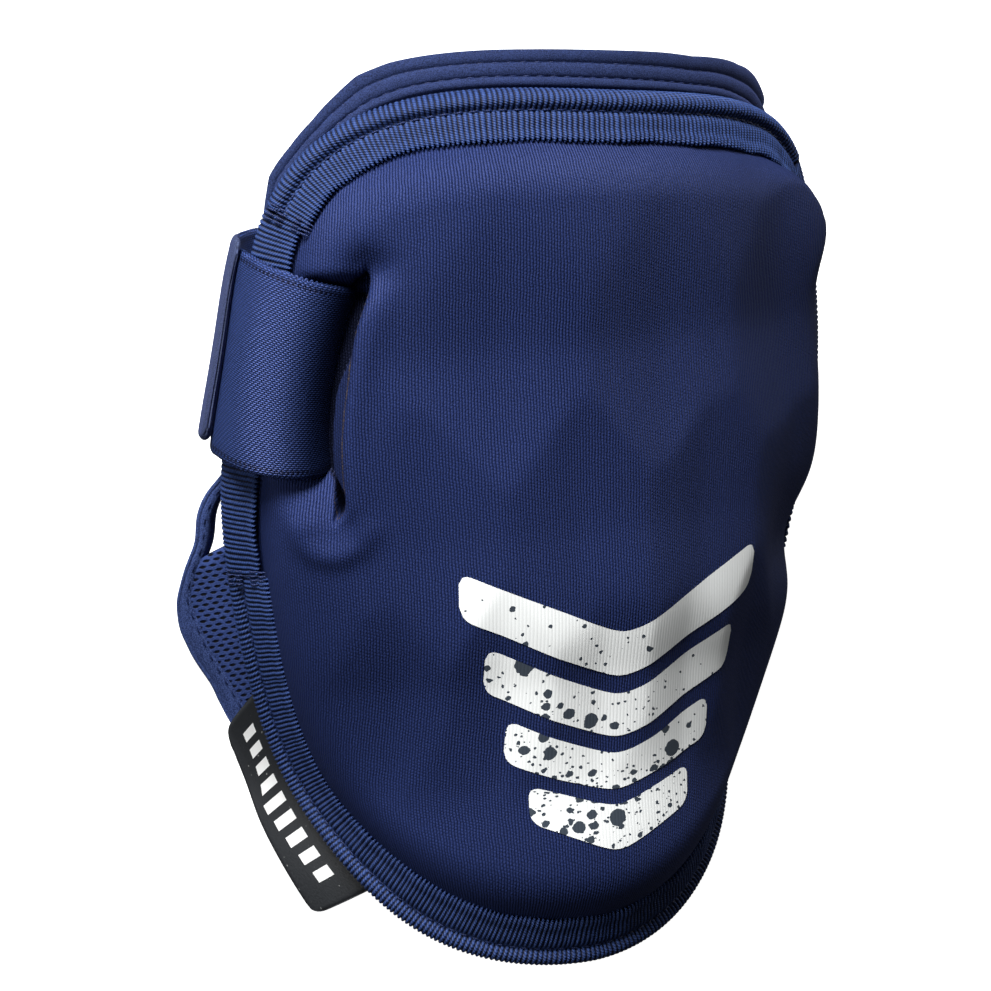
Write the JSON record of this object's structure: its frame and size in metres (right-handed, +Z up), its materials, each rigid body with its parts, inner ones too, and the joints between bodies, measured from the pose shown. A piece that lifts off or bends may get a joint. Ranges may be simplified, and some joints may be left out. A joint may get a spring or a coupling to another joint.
{
  "type": "elbow guard",
  "caption": "Padded batting elbow guard: arched navy foam front with taped edges, mesh lining, rolled top collar and an elastic strap.",
  "frame": {"origin": "centre of the bounding box on the table that the guard lies on", "axes": "+Z up out of the padded front, +Y along the arm towards the collar, +X to the right as seen from the front"},
  "size_m": [0.1478, 0.1942, 0.0768],
  "materials": {
    "knit_cover": "matte fine vertical knit",
    "ribbed_tape": "ribbed woven tape",
    "liner_mesh": "perforated mesh cloth",
    "liner_hem": "matte smooth jersey",
    "collar_cloth": "matte jersey with stitched rolls",
    "strap_elastic": "satin woven elastic",
    "tab_cloth": "brushed loop cloth",
    "tag_rubber": "matte fine-grained rubber"
  },
  "bodies": {
    "root": {"front_pad": "knit_cover", "top_binding": "ribbed_tape", "left_binding": "ribbed_tape", "right_binding": "ribbed_tape", "lower_binding": "ribbed_tape", "liner_panel": "liner_mesh", "liner_hem": "liner_hem", "collar_band": "collar_cloth", "strap": "strap_elastic", "strap_tab": "tab_cloth", "side_tag": "tag_rubber"}
  },
  "joints": []
}
